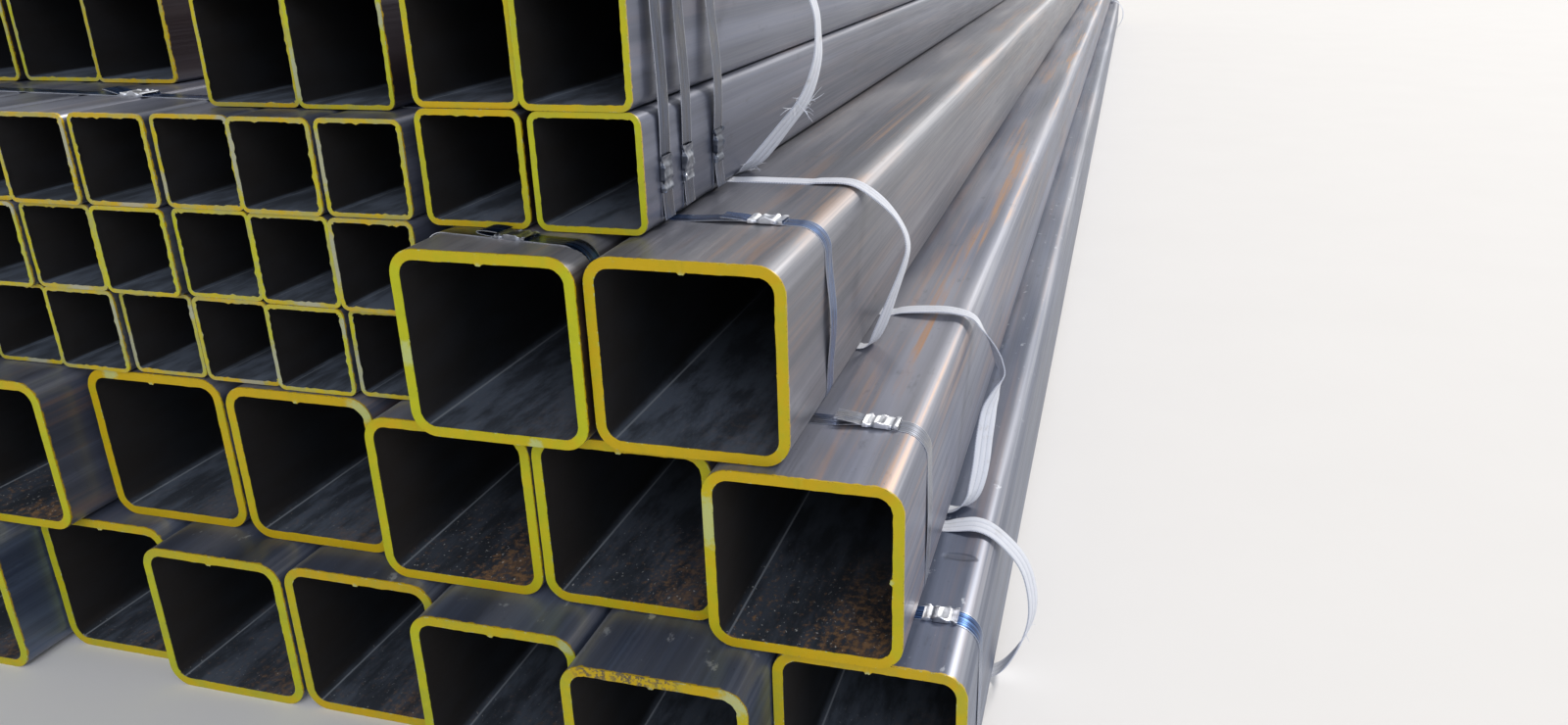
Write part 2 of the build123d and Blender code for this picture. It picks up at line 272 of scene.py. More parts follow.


# Hot-rolled structural steel with its mill scale still on: a thin blue-grey oxide, satin, faintly
# drawn out lengthwise by the rolls and rubbed at the corners, with dust and first rust on top. Its row
# tones, paler tops and brighter corners are partly painted light and shade.
def millScaleSteel(row):
    looks = steelLooks
    material, tree, read = newMaterial(row + "RowSteel", looks)
    value = read["bands"]
    for pattern, share in looks["blend"].items():
        value = addNode(tree, "Mix", {}, {0: share, 2: value, 3: read[pattern]})
    value = addNode(tree, "Math", scaleAndAdd, (read["tone"], looks["toneReach"], value))
    colour = addNode(tree, "ValToRGB", {}, {"Fac": value}, stops=zip(looks["stops"], looks[row]))
    onTop = addNode(tree, "MapRange", smooth, (facing(tree)["Z"], *looks["topFacing"]))
    # Dust settles on tops, in long faint drifts, partly painted light: tops paler as if lit, less on the
    # rows in shade
    lying = addNode(tree, "MapRange", {}, (onTop, 0, 1, looks["paleOnSides"], 1.0))
    paleCover = addNode(tree, "Math", multiplyShares, (lying, read["paleDrifts"]))
    paleCover = addNode(tree, "Math", multiplyShares, (paleCover, looks["dustAndLightShare"][row]))
    # Rust lies on tops too, and less on the sides
    rusty = addNode(tree, "MapRange", {}, (onTop, 0, 1, looks["tanOnSides"], 1.0))
    # Paint drifted past the end while it was sprayed
    spread = looks["overspraySpread"]
    least = looks["oversprayReach"] - spread / 2
    reach = addNode(tree, "Math", scaleAndAdd, (read["spray"], spread, least))
    past = addNode(tree, "Math", subtract, (reach, read["fromEnd"]))
    sprayed = addNode(tree, "MapRange", smooth, (past, *looks["oversprayEdge"]))
    colour = layColours(tree, colour, (
        (looks["dust"], paleCover),
        # First rust, tan and drawn out along the tube, most of it where water ran off at the right
        (looks["tan"], read["rustPatches"], read["rustLines"], read["rainSide"], read["stained"], rusty),
        (looks["oil"], read["oilPatches"]),
        (looks["oil"], read["oilSpots"]),
        # Dark brown in the gap to the next tube: rust, and painted shade of the narrow gap
        (looks["gapRustAndShade"], read["gapSide"], read["gapRustAndShade"]),
        # The corners are rubbed brighter by the rolls and by handling, and partly a painted highlight
        # where light catches the round corners, weaker on the light bundles, which lay in shade
        (looks["rubbedAndHighlit"], read["rubAndHighlightLines"], looks["rubbedAndHighlitShare"][row], read["rub"]),
        (paintLooks["golden"], sprayed),
    ))
    metal = addNode(tree, "MapRange", {}, (paleCover, 0, 1, *looks["metal"]))
    metal = addNode(tree, "Mix", {}, {0: sprayed, 2: metal, 3: 0.0})
    gloss = addNode(tree, "Mix", {}, {0: paleCover, 2: read["gloss"], 3: looks["dustyGloss"]})
    if row == "bottom":
        # The press mark's depth falls off to its rim
        press = looks["pressMark"]
        low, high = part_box("bottom_tube_8")
        place = addNode(tree, "Mapping", {"vector_type": "TEXTURE"}, {
            "Vector": addNode(tree, "TexCoord", out="Object"),
            "Location": (high.x, low.y, high.z) + np.array(press["place"]) * mm,
            "Scale": [half * mm for half in press["halfSize"]],
        })
        far = addNode(tree, "VectorMath", {"operation": "LENGTH"}, (place,), "Value")
        read["press"] = addNode(tree, "MapRange", smooth, (far, *press["rim"]))
        # Painted shade: the press mark's hollow is darkened towards its middle
        dark = addNode(tree, "MapRange", smooth, (far, *press["dark"]))
        # Dragged chains have left pale smears on top
        colour = layColours(tree, colour, (
            (looks["oil"], dark),
            (looks["smear"], read["smearPatches"], onTop),
        ))
    endMaterial(tree, read, looks["relief"], {
        "Base Color": colour, "Metallic": metal, "Roughness": gloss,
    })
    return material


boreLooks = {
    # near black inside: painted shade of the bore
    "scale": "#090B0E",
    "wall": "#11151B",
    "floor": "#5A6370",
    "floorFacing": (0.5, 0.95),
    "cleanFloor": (1.0, 0.5),  # how dusty, from a clean tube to a rusty one
    "brownWall": "#5A5048",
    "leftFacing": (0.6, 0.95),
    "brownShare": (0.1, 0.2),  # how brown, from a clean tube to a rusty one
    "rust": "#92704E",
    "oldRust": "#5C4737",
    "rustPatching": 0.35,
    "rustLimits": (0.64, 0.84, 0.0, 0.9),
    "speck": "#DCDCD6",
    "paintedCornerHighlight": "#8A9096",
    "lineAt": -0.80,  # across the floor, where the left corner's round ends
    "lineLimits": (0.006, 0.012, 0.75, 0.0),
    "patterns": {
        "patches": ((34, 130, 34), 5, 0.65),
        "crumbs": ((9, 11, 9), 5, 0.7),
        "specks": ((4, 6, 4), 2, 0.5),
    },
    "numbers": ("fromEnd", "rusting", "sideX"),
    "shares": {
        "nearMouth": ("fromEnd", 10, 300, 1.0, 0.0),
        "shallow": ("fromEnd", 60, 900, 1.0, 0.0),
        "atMouth": ("fromEnd", 0, 170, 1.0, 0.0),
        "wallPatches": ("patches", 0.35, 0.7),
        "dustPatches": ("patches", 0.38, 0.62, 0.35, 1.0),
        "rightHand": ("sideX", -0.3, 0.5, -0.08, 0.09),
        "freshRust": ("crumbs", 0.42, 0.66),
        "paleSpecks": ("specks", 0.67, 0.74, 0.0, 0.8),
    },
    "relief": {"patches": (0.6, 0.4), "crumbs": (0.6, 0.5)},
}


# The same scale inside the tube, dull and painted near black: painted shade of the tube's inside. Near
# the mouth pale dust lies on the floor, rust where water stood on its right, and the left wall is a
# little brown.
def boreScale():
    looks = boreLooks
    material, tree, read = newMaterial("boreScale", looks)
    face = facing(tree)
    onFloor = addNode(tree, "MapRange", smooth, (face["Z"], *looks["floorFacing"]))
    onLeft = addNode(tree, "MapRange", smooth, (face["X"], *looks["leftFacing"]))
    paleCover = addNode(tree, "MapRange", {}, (read["rusting"], 0, 1, *looks["cleanFloor"]))
    brown = addNode(tree, "MapRange", {}, (read["rusting"], 0, 1, *looks["brownShare"]))
    # Rust, thickest at the front on the right
    wet = addNode(tree, "Math", multiplyShares, (onFloor, read["nearMouth"]))
    wet = addNode(tree, "Math", multiplyShares, (wet, read["rusting"]))
    rusty = addNode(tree, "Math", add, (read["crumbs"], read["rightHand"]))
    rusty = addNode(tree, "Math", scaleAndAdd, (read["patches"], looks["rustPatching"], rusty))
    rusty = addNode(tree, "MapRange", smooth, (rusty, *looks["rustLimits"]))
    rust = layColours(tree, looks["oldRust"], [(looks["rust"], read["freshRust"])])
    # A painted highlight: a pale thread where the left wall's round meets the floor, where light catches
    # the inner corner
    line = addNode(tree, "Math", subtract, (read["sideX"], looks["lineAt"]))
    line = addNode(tree, "Math", magnitude, (line,))
    line = addNode(tree, "MapRange", smooth, (line, *looks["lineLimits"]))
    colour = layColours(tree, looks["scale"], (
        (looks["wall"], read["wallPatches"]),
        (looks["floor"], read["dustPatches"], onFloor, read["shallow"], paleCover),
        (looks["brownWall"], read["atMouth"], onLeft, brown),
        (rust, rusty, wet),
        (looks["speck"], read["paleSpecks"], wet),
        (looks["paintedCornerHighlight"], line, onFloor, read["shallow"]),
    ))
    endMaterial(tree, read, looks["relief"], {"Base Color": colour, "Metallic": 0.1, "Roughness": 0.6})
    return material


paintLooks = {
    "golden": "#BA9A02",
    "lemon": "#AEB212",
    "lemonFrom": {"patches": (1.2, -0.95), "tone": 0.9, "upright": 0.55},
    "thin": "#8C8C14",
    "pale": "#98955A",
    "thinOnGood": 0.35,
    "bare": "#A9B67C",
    "greyBare": "#989C92",
    "bareEdge": (1.8, -0.9),  # how much the chips pattern breaks up a bare patch's edge
    "bareLimits": (0.2, 1.0, 0.0, 0.75),
    "rimWidth": (0.34, 0.50),  # from the middle of the wall, in walls
    "chipsIfPoor": 0.08,
    "chipLimits": (0.58, 0.66),
    "grease": "#4B4640",
    "patterns": {
        "patches": ((30, 30, 30), 4, 0.6),
        "fine": ((2.5, 2.5, 2.5), 3, 0.6),
        "chips": ((7, 7, 7), 4, 0.65),
    },
    "numbers": ("tone", "wall", "upright", "bare", "poor", "scuffed"),
    "shares": {
        "thinPatches": ("patches", 0.40, 0.66, 0.1, 0.75),
        "greaseSpots": ("fine", 0.58, 0.68, 0.0, 0.85),
        "scuffLines": ("chips", 0.46, 0.56, 0.0, 0.9),
        "gloss": ("fine", 0.3, 0.7, 0.5, 0.64),
    },
    "relief": {"patches": (0.4, 0.3), "gone": (-0.15, 0.6), "fine": (0.15, 0.5)},
}


# Yellow marking paint, sprayed thin on a saw-cut end: half matt, golden where it lies thick and
# lemon where it is thin on the uprights, missing where the rim was greasy, so that pale steel shows
def markingPaint():
    looks = paintLooks
    material, tree, read = newMaterial("markingPaint", looks)
    lemonFrom = looks["lemonFrom"]
    lemon = addNode(tree, "Math", scaleAndAdd, (read["patches"], *lemonFrom["patches"]))
    lemon = addNode(tree, "Math", scaleAndAdd, (read["tone"], lemonFrom["tone"], lemon))
    lemon = addNode(tree, "Math", scaleAndAddToFull, (read["upright"], lemonFrom["upright"], lemon))
    most = addNode(tree, "MapRange", {}, (read["poor"], 0, 1, looks["thinOnGood"], 1.0))
    thin = layColours(tree, looks["thin"], [(looks["pale"], read["poor"])])
    rim = addNode(tree, "Math", subtract, (read["wall"], 0.5))
    rim = addNode(tree, "Math", magnitude, (rim,))
    atRim = addNode(tree, "MapRange", smooth, (rim, *looks["rimWidth"]))
    chipped = addNode(tree, "Math", scaleAndAdd, (read["poor"], looks["chipsIfPoor"], read["chips"]))
    chipped = addNode(tree, "MapRange", smooth, (chipped, *looks["chipLimits"]))
    chipped = addNode(tree, "Math", multiplyShares, (chipped, atRim))
    patch = addNode(tree, "Math", scaleAndAdd, (read["chips"], *looks["bareEdge"]))
    patch = addNode(tree, "Math", add, (patch, read["bare"]))
    patch = addNode(tree, "MapRange", smooth, (patch, *looks["bareLimits"]))
    read["gone"] = addNode(tree, "Math", larger, (patch, chipped))
    steel = layColours(tree, looks["bare"], [(looks["greyBare"], read["poor"])])
    greasy = addNode(tree, "Math", multiplyShares, (read["greaseSpots"], atRim))
    scuffed = addNode(tree, "Math", multiplyShares, (read["scuffLines"], read["scuffed"]))
    colour = layColours(tree, looks["golden"], (
        (looks["lemon"], lemon),
        (thin, read["thinPatches"], most),
        (steel, read["gone"]),
        (looks["grease"], addNode(tree, "Math", larger, (greasy, scuffed))),
    ))
    endMaterial(tree, read, looks["relief"], {
        "Base Color": colour, "Roughness": read["gloss"], "Specular IOR Level": 0.3,
    })
    return material


sawnLooks = {
    "steel": "#8D8B88",
    "rust": "#7A5C45",
    "patterns": {"patches": ((22, 22, 22), 5, 0.6), "sawMarks": ((60, 4, 1.6), 2, 0.5)},
    "shares": {"rusted": ("patches", 0.4, 0.65)},
    "relief": {"sawMarks": (0.25, 0.6)},
}


# Saw-cut steel of the far ends, bright once and now lightly rusted
def sawnSteel():
    looks = sawnLooks
    material, tree, read = newMaterial("sawnSteel", looks)
    colour = layColours(tree, looks["steel"], [(looks["rust"], read["rusted"])])
    endMaterial(tree, read, looks["relief"], {"Base Color": colour, "Metallic": 0.6, "Roughness": 0.48})
    return material


strapLooks = {
    "blued": "#22365A",
    "worn": "#4A6796",
    "grey": "#82848B",
    "oil": "#1E2029",
    "edge": "#C7CCD6",
    "edgeLimits": (0.93, 1.0),
    "patterns": {
        "streaks": ((60, 3, 60), 4, 0.55),
        "patches": ((46, 26, 46), 4, 0.55),
    },
    "numbers": ("across", "greyedAndLit", "oiled"),
    "shares": {
        "wornLines": ("streaks", 0.35, 0.65),
        "greyPatches": ("patches", 0.48, 0.68, -0.1, 0.4),
        "strapShadeStreaks": ("streaks", 0.3, 0.6, 1.0, 0.7),
        "gloss": ("streaks", 0.3, 0.7, 0.22, 0.36),
    },
    "relief": {"patches": (0.5, 0.3)},
}


# Blued steel strapping: cold-rolled ribbon tempered blue, bright at its sheared edges. Its grey is partly
# painted sunlight, and it is darkened with painted shade where a strap lay in shade
def bluedStrapping():
    looks = strapLooks
    material, tree, read = newMaterial("bluedStrapping", looks)
    grey = addNode(tree, "Math", addToFull, (read["greyPatches"], read["greyedAndLit"]))
    edge = addNode(tree, "Math", magnitude, (read["across"],))
    edge = addNode(tree, "MapRange", smooth, (edge, *looks["edgeLimits"]))
    colour = layColours(tree, looks["blued"], (
        (looks["worn"], read["wornLines"]),
        (looks["grey"], grey),
        # Painted shade: straps that lay in shade are darkened
        (looks["oil"], read["strapShadeStreaks"], read["oiled"]),
        (looks["edge"], edge),
    ))
    endMaterial(tree, read, looks["relief"], {
        "Base Color": colour, "Metallic": 0.95, "Roughness": read["gloss"],
    })
    return material


zincLooks = {
    "dull": "#565C68",
    "bright": "#DFE2E8",
    "brightFrom": (0.8, -0.4),
    "patterns": {"patches": ((9, 9, 9), 3, 0.5)},
    "numbers": ("shine",),
    "relief": {"patches": (0.6, 0.4)},
}


# Zinc-coated seal, crumpled over the strap when it was crimped: bright and dull in small patches
def crumpledSeal():
    looks = zincLooks
    material, tree, read = newMaterial("crumpledSeal", looks)
    bright = addNode(tree, "Math", scaleAndAdd, (read["patches"], *looks["brightFrom"]))
    # Partly painted light: a seal's shine brightens it, and seals on straps that lay in shade have little
    bright = addNode(tree, "Math", addToFull, (bright, read["shine"]))
    colour = layColours(tree, looks["dull"], [(looks["bright"], bright)])
    endMaterial(tree, read, looks["relief"], {"Base Color": colour, "Metallic": 1.0, "Roughness": 0.36})
    return material


webLooks = {
    # yarn greyed and tinted blue: painted shade
    "yarn": "#D8DDE8",
    "shade": "#959BAD",
    "shadeLimits": (-0.9, 0.9, 0.1, 1.0),
    "soil": "#97918A",
    "pitch": 2.4,  # a real yarn is 1.2 mm wide, drawn twice as coarse so that the weave shows
    "ribShare": 3.0,
    "patterns": {"grime": ((26, 26, 26), 5, 0.65)},
    "numbers": ("across", "along"),
    "shares": {"soiled": ("grime", 0.56, 0.74, 0.0, 0.4)},
    "relief": {"weave": (0.4, 0.6)},
}


# White polyester webbing, woven flat with lengthwise ribs: matt, a little sheen, soiled where it
# rubs, and greyed blue with painted shade. The weave is a slanting wave across the band and along it, and
# the ribs are the size of a cosine across it, with painted shade in the weave and between two ribs.
def wovenWebbing():
    looks = webLooks
    material, tree, read = newMaterial("wovenWebbing", looks)
    perMillimetre = 2 * np.pi / looks["pitch"]
    phase = addNode(tree, "Math", multiply, (read["across"], sling["width"] / 2 * perMillimetre))
    slant = addNode(tree, "Math", scaleAndAdd, (read["along"], perMillimetre, phase))
    wave = addNode(tree, "Math", {"operation": "SINE"}, (slant,))
    rib = addNode(tree, "Math", multiply, (read["across"], sling["ribs"] * np.pi / 2))
    rib = addNode(tree, "Math", {"operation": "COSINE"}, (rib,))
    rib = addNode(tree, "Math", magnitude, (rib,))
    read["weave"] = addNode(tree, "Math", scaleAndAdd, (rib, looks["ribShare"], wave))
    share = addNode(tree, "MapRange", smooth, (read["weave"], *looks["shadeLimits"]))
    colour = layColours(tree, looks["shade"], ((looks["yarn"], share), (looks["soil"], read["soiled"])))
    endMaterial(tree, read, looks["relief"], {
        "Base Color": colour, "Roughness": 0.78, "Sheen Weight": 0.25, "Sheen Roughness": 0.5,
    })
    return material


# Meshes

# Quads of a grid of points, rows by columns, closed round its columns and maybe along its rows
def gridQuads(rows, columns, closedAlong):
    row = np.arange(rows if closedAlong else rows - 1)[:, None]
    column = np.arange(columns)[None, :]
    right = (column + 1) % columns
    after = (row + 1) % rows
    row, after = row * columns, after * columns
    return np.stack([row + column, row + right, after + right, after + column], axis=-1).reshape(-1, 4)


# One surface of a mesh. The sign of the volume inside it says whether its quads face outwards.
# An open one is closed at both ends by its first and last rows.
def addSurface(surfaces, points, closedAlong=True, rowSlots=None, **attributes):
    rows, columns = points.shape[:2]
    quads = gridQuads(rows, columns, closedAlong)
    flat = points.reshape(-1, 3)
    centred = flat - flat.mean(axis=0)
    a, b, c, d = (centred[quads[:, corner]] for corner in range(4))
    volume = (np.cross(a, b) * c).sum() + (np.cross(a, c) * d).sum()
    faces = [quads if volume > 0 else quads[:, ::-1]]
    slots = np.zeros(rows, int) if rowSlots is None else rowSlots
    slots = [np.repeat(slots[:len(quads) // columns], columns)]
    if not closedAlong:
        first = np.arange(columns)[None, :]
        last = first + (rows - 1) * columns
        ends = (first[:, ::-1], last) if volume > 0 else (first, last[:, ::-1])
        faces.extend(ends)
        slots.append(np.zeros(2, int))
    surfaces.append({"points": flat, "faces": faces, "slots": np.concatenate(slots), "attributes": {
        name: np.broadcast_to(values, (rows, columns)).reshape(-1) for name, values in attributes.items()
    }})


# All the surfaces of a piece in one mesh, smooth except at edges sharper than sharpAngle degrees
def buildMesh(name, surfaces, sharpAngle=32):
    counts = [len(surface["points"]) for surface in surfaces]
    starts = np.concatenate([[0], np.cumsum(counts)[:-1]])
    points = np.concatenate([surface["points"] for surface in surfaces])
    groups = [faces + start for surface, start in zip(surfaces, starts) for faces in surface["faces"]]
    loops = np.concatenate([group.reshape(-1) for group in groups])
    sizes = np.concatenate([np.full(len(group), group.shape[1]) for group in groups])
    mesh = bpy.data.meshes.new(name)
    mesh.vertices.add(len(points))
    mesh.vertices.foreach_set("co", points.astype(np.float32).reshape(-1))
    mesh.loops.add(len(loops))
    mesh.loops.foreach_set("vertex_index", loops.astype(np.int32))
    mesh.polygons.add(len(sizes))
    mesh.polygons.foreach_set("loop_start", (np.cumsum(sizes) - sizes).astype(np.int32))
    mesh.polygons.foreach_set("loop_total", sizes.astype(np.int32))
    slots = np.concatenate([surface["slots"] for surface in surfaces])
    mesh.polygons.foreach_set("material_index", slots.astype(np.int32))
    for key in surfaces[0]["attributes"]:
        values = np.concatenate([surface["attributes"][key] for surface in surfaces])
        layer = mesh.attributes.new(key, "FLOAT", "POINT")
        layer.data.foreach_set("value", values.astype(np.float32))
    mesh.update(calc_edges=True)
    mesh.validate()
    mesh.shade_smooth()
    mesh.set_sharp_from_angle(angle=radians(sharpAngle))
    return mesh


def pieceName(node):
    words = node.split("_")
    return words[0] + "".join(word.capitalize() for word in words[1:])


# A finished mesh becomes a piece: it stands for its CAD node, rides on the one body and has its material
# slots
def placePiece(node, surfaces, materials, sharpAngle=32):
    mesh = buildMesh(pieceName(node), surfaces, sharpAngle)
    for material in materials:
        mesh.materials.append(material)
    piece = bpy.data.objects.new(pieceName(node), mesh)
    bpy.context.scene.collection.objects.link(piece)
    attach(piece, "root")
    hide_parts(node)
    return piece


# Tubes

largeTube = {
    "side": 250, "wall": 14, "corner": 35, "cornerSteps": 9, "flatSteps": 20, "burr": 1.0,
    "beadWidth": 9, "beadHeight": 3, "beadSteps": 8, "beadReach": 0.62, "beadRoom": 0.04,
    "beadFoot": 2.3, "beadSlope": 2, "beadWallFrom": 0.9, "nibAt": 0.86, "nibReach": 0.05,
}
lightTube = {"wall": 6, "corner": 12, "cornerSteps": 5, "flatSteps": 18, "burr": 2.0}
lightTubes = {
    "small": {**lightTube, "rows": 3, "side": 130, "burr": 2.4},
    "quad": {**lightTube, "rows": 2, "side": 150, "wall": 8, "corner": 16, "cornerSteps": 6, "burr": 1.6},
    "pair": {**lightTube, "rows": 1, "side": 150},
    "wide": {**lightTube, "rows": 1, "side": 160},
}
# How rusty inside, how stained outside, how dark towards the next tube (rust and painted shade of the
# gap), and how poorly the ends took paint
rowLooks = {
    "bottom": {"rusting": 0.5, "stained": 0.15, "gapRustAndShade": 0.0, "poor": 0.3},
    "middle": {"rusting": 1.0, "stained": 1.0, "gapRustAndShade": 0.0, "poor": 0.0},
    "top": {"rusting": 0.12, "stained": 0.5, "gapRustAndShade": 1.0, "poor": 0.0},
    "small": {"rusting": 0.0, "stained": 0.1, "gapRustAndShade": 0.0, "poor": 1.0},
    "quad": {"rusting": 0.1, "stained": 0.2, "gapRustAndShade": 1.0, "poor": 0.25},
    "pair": {"rusting": 0.0, "stained": 0.1, "gapRustAndShade": 0.8, "poor": 0.8},
    "wide": {"rusting": 0.0, "stained": 0.1, "gapRustAndShade": 0.8, "poor": 1.0},
}
paintTones = {  # golden at 0, lemon at 1
    "top_tube_1": 0.85, "top_tube_2": 0.1, "middle_tube_7": 0.35, "bottom_tube_8": 0.2,
    "middle_tube_3": 0.05, "middle_tube_4": 0.15, "middle_tube_5": 0.6,
}
drawnTones = {"large": (0.2, 0.6), "light": (0.35, 0.65)}  # the others' least tone and its spread
# Tubes whose bores are cleaner than the rest of their row
cleanBores = {"middle_tube_3": 0.2, "middle_tube_4": 0.25, "middle_tube_6": 0.7}
# Where an end's paint is missing: place across and up from the tube's middle, and reach, all as
# shares of half its side. Light tubes in rows that took paint poorly draw theirs from randomPatches.
barePatches = {
    "middle_tube_7": ((-0.95, 0.42, 0.40),),
    "middle_tube_4": ((0.88, 0.88, 0.26),),
    "bottom_tube_7": ((0.9, 0.9, 0.26),),
    "top_tube_1": ((-0.95, -0.1, 0.18), (0.4, -0.98, 0.12)),
    "bottom_tube_6": ((0.92, 0.92, 0.16),),
    "middle_tube_3": ((-0.6, 0.97, 0.16),),
}
# Where a dragged chain has scuffed an end's paint dark
scuffMarks = {"bottom_tube_7": ((-0.6, 1.0, 0.30), (-0.2, 1.0, 0.36), (0.15, 1.0, 0.2))}
randomPatches = (
    (), (),
    ((-0.97, 0.1, 0.9),),
    ((0.97, 0.3, 0.8),),
    ((0.2, -0.97, 0.5),),
    ((0.96, 0.96, 0.4), (-0.96, -0.5, 0.4)),
    ((-0.97, -0.4, 0.7), (0.97, 0.6, 0.3)),
)
poorPaint = 0.5  # rows that took paint worse than this draw them
tubeEnds = {
    "chamfer": 0.7,
    "raggedness": 0.5,
    "drawSpread": 0.5,
    "smoothing": 1.7,
    "unevenDepth": 3,
    "burrFrom": 0.1,
    "cornerClosenessWidth": 0.25,
    "markCore": 1.6,
    "skinDepths": (3, 8, 60, 6000),
    "boreDepths": (3, 8, 60, 1200, 6000),
    "faceShares": (0.97, 0.75, 0.5, 0.25, 0.03),
}


# Points round a square with rounded corners, anticlockwise from the middle height of its right side:
# each corner is a quarter arc, and each flat is cut at the given shares of its length
def squareOutline(side, corner, cornerSteps, flatShares):
    reach = side / 2 - corner
    turns = np.arange(4)[:, None] * np.pi / 2 + np.linspace(0, np.pi / 2, cornerSteps + 1)
    centres = reach * np.array([(1, 1), (-1, 1), (-1, -1), (1, -1)])
    arcs = centres[:, None] + corner * np.stack([np.cos(turns), np.sin(turns)], axis=-1)
    run = np.roll(arcs[:, 0], -1, axis=0) - arcs[:, -1]
    flats = arcs[:, -1, None] + flatShares[:, None] * run[:, None]
    return np.concatenate([arcs, flats], axis=1).reshape(-1, 2)


# Weld bead inside: the inner outline moves towards the middle by a trapezoid's height, half way
# along one wall (0 the top one, 3 the right one)
def addBead(inner, looks, wallNumber):
    turn = wallNumber * np.pi / 2
    along = np.array([np.cos(turn), np.sin(turn)])
    inward = np.array([np.sin(turn), -np.cos(turn)])
    half = looks["side"] / 2 - looks["wall"]
    onWall = -(inner @ inward) > half * looks["beadWallFrom"]
    share = np.abs(inner @ along) / (looks["beadWidth"] / 2)
    trapezoid = np.clip(looks["beadFoot"] - looks["beadSlope"] * share, 0, 1)
    height = looks["beadHeight"] * trapezoid * onWall
    return inner + height[:, None] * inward


# How much of a mark lies at each place: all of it near the mark's middle, falling to none at its reach
def markShare(places, marks):
    share = np.zeros(places.shape[:2])
    for x, z, reach in marks:
        away = np.hypot(places[..., 0] - x, places[..., 1] - z)
        share = np.maximum(share, np.clip(tubeEnds["markCore"] * (1 - away / reach), 0, 1))
    return share


# A square tube as one closed ribbon of rings: back along the skin, over the front face, down the
# bore and over the back face. A ring is a blend of the outer and inner outlines at one depth.
def tubeSurface(surfaces, looks, centre, length, numbers, beadWall=None, patches=(), scuffs=()):
    shares = np.linspace(0, 1, looks["flatSteps"] + 1)[1:-1]
    if beadWall is not None:
        flat = looks["side"] - 2 * looks["corner"]
        near = np.linspace(-1, 1, looks["beadSteps"] + 1) * looks["beadReach"] * looks["beadWidth"] / flat
        clear = shares[np.abs(shares - 0.5) > looks["beadRoom"]]
        shares = np.unique(np.concatenate([clear, 0.5 + near]))
    outer = squareOutline(looks["side"], looks["corner"], looks["cornerSteps"], shares)
    innerSide = looks["side"] - 2 * looks["wall"]
    inner = squareOutline(innerSide, looks["corner"] - looks["wall"], looks["cornerSteps"], shares)
    if beadWall is not None:
        inner = addBead(inner, looks, beadWall)
    ends = tubeEnds
    skin = np.array(ends["skinDepths"], float)
    bore = np.array(ends["boreDepths"], float)
    face = np.array(ends["faceShares"])
    chamfer = ends["chamfer"]
    skin = np.concatenate([[chamfer], skin, length - skin[-2::-1], [length - chamfer]])
    bore = np.concatenate([[chamfer], bore, length - bore[-2::-1], [length - chamfer]])
    depth = np.concatenate([skin[::-1], np.zeros(len(face)), bore, np.full(len(face), length)])
    share = np.concatenate([np.ones(len(skin)), face, np.zeros(len(bore)), face[::-1]])
    zone = np.repeat([0, 1, 2, 3], [len(skin) - 1, len(face) + 1, len(bore) - 1, len(face) + 1])
    # The saw leaves nibs that stand into the bore by a random height, and a rim never quite flat:
    # each point's draw is added to its neighbours' and brought back to about its own size
    draws = randomDraws.normal(0, ends["drawSpread"], (3, len(outer)))
    uneven = (draws + np.roll(draws, 1, axis=1) + np.roll(draws, -1, axis=1)) / ends["smoothing"]
    atFront = np.clip(1 - depth / ends["unevenDepth"], 0, 1)[:, None]
    atBack = np.clip(1 - (length - depth) / ends["unevenDepth"], 0, 1)[:, None]
    nibs = np.clip(draws[2] - ends["burrFrom"], 0, 1) * (atFront + atBack)
    burr = 1 + looks["burr"] / looks["wall"] * nibs
    ring = outer + ((1 - share[:, None]) * burr)[..., None] * (inner - outer)
    wobble = ends["raggedness"] * np.clip(uneven, 0, 1)
    back = depth[:, None] + atFront * wobble[0] - atBack * wobble[1]
    points = np.stack([centre[0] + ring[..., 0], centre[1] + back, centre[2] + ring[..., 1]], axis=-1)
    # What the materials read: place across, closeness to a corner or to an upright wall, bare paint
    places = ring / (looks["side"] / 2)
    reached = np.abs(outer)
    rub = np.clip(1 - (1 - reached.min(axis=1) / reached.max(axis=1)) / ends["cornerClosenessWidth"], 0, 1)
    upright = np.clip((reached[:, 0] - reached[:, 1]) / looks["corner"] + 0.5, 0, 1)
    addSurface(
        surfaces, points * mm, rowSlots=zone, fromEnd=depth[:, None], wall=share[:, None],
        rub=rub[None, :], upright=upright[None, :], bare=markShare(places, patches),
        scuffed=markShare(places, scuffs), sideX=places[..., 0], **numbers,
    )


